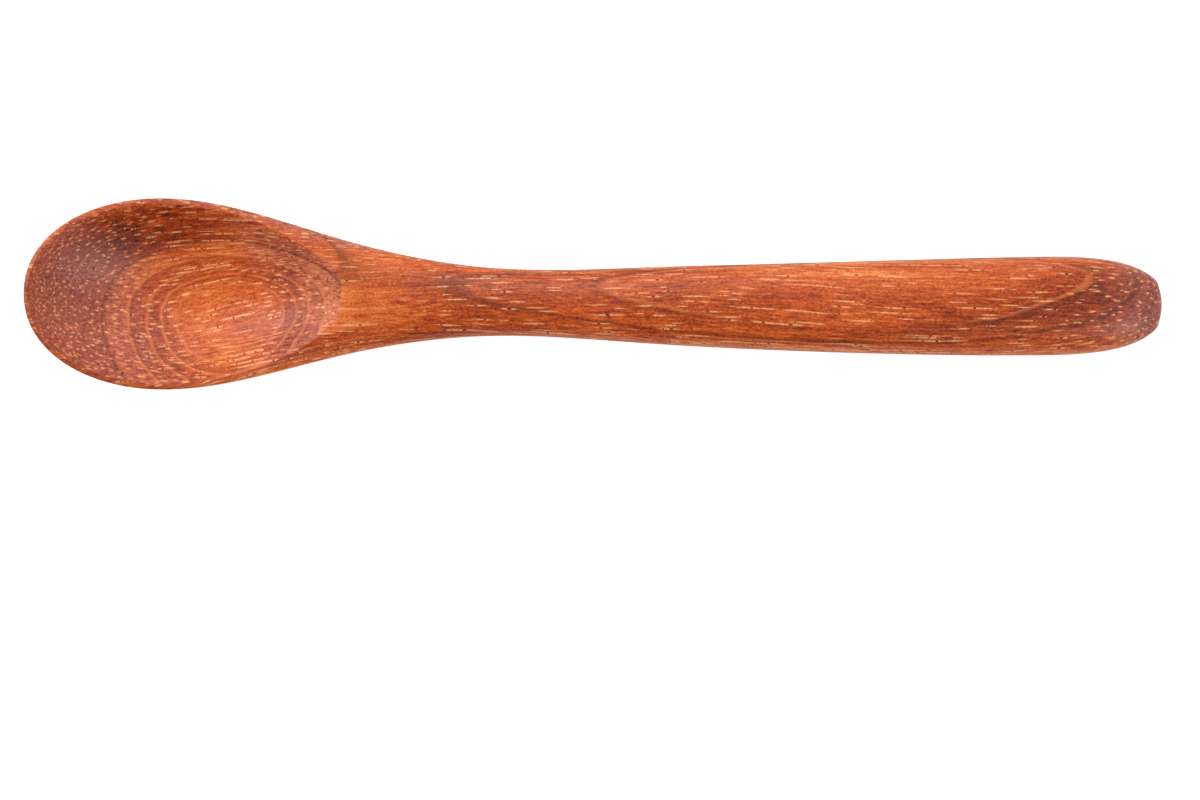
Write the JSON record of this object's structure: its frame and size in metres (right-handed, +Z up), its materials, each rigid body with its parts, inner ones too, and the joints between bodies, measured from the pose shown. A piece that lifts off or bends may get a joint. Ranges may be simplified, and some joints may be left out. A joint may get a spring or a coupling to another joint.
{
  "type": "toddler spoon",
  "caption": "Small one-piece carved wooden spoon: egg-shaped bowl with an upswept tip, slim neck and a gently arched, rounded handle that thickens towards a blunt end.",
  "frame": {"origin": "on the table under the bowl's axis, at the middle of the spoon's length", "axes": "+X along the spoon from the bowl's tip to the handle's end, +Z up from the table it lies on"},
  "size_m": [0.15, 0.0252, 0.0155],
  "materials": {
    "oiled_hardwood": "reddish tropical hardwood, sanded smooth and oiled to a satin sheen"
  },
  "bodies": {
    "root": {"spoon": "oiled_hardwood"}
  },
  "joints": []
}
